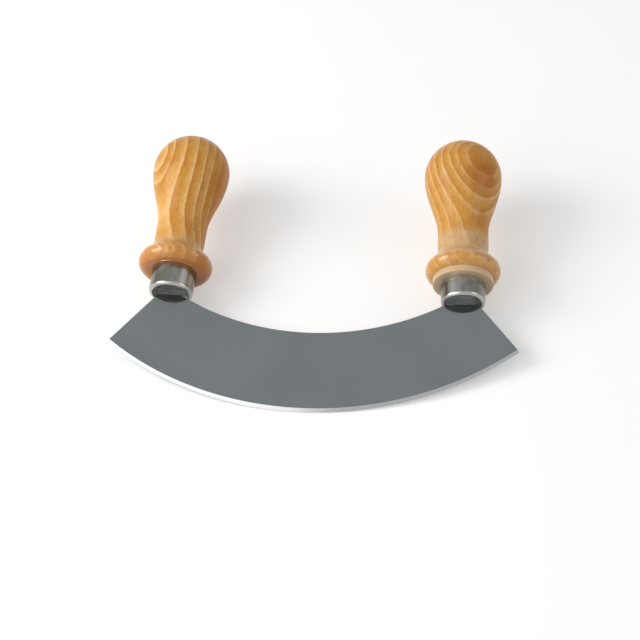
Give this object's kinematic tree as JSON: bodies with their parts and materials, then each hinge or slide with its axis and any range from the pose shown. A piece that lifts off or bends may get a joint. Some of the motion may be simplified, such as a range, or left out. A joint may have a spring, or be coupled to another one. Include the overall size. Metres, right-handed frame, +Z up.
{
  "type": "mezzaluna",
  "caption": "Rocking herb chopper: a crescent steel blade with a turned wooden handle in a steel ferrule at each end.",
  "frame": {"origin": "middle of the box, on the table that the mezzaluna lies on", "axes": "+X from the left tip to the right tip, +Y from the cutting edge towards the handles, +Z up from the table"},
  "size_m": [0.18, 0.1344, 0.0441],
  "materials": {
    "blade_steel": "polished stainless steel, with a bright ground bevel along the cutting edge",
    "ferrule_plating": "bright nickel plating on drawn steel",
    "varnished_beech": "turned beech under a glossy honey-coloured varnish"
  },
  "bodies": {
    "root": {"blade": "blade_steel", "left_ferrule": "ferrule_plating", "right_ferrule": "ferrule_plating", "left_handle": "varnished_beech", "right_handle": "varnished_beech"}
  },
  "joints": []
}
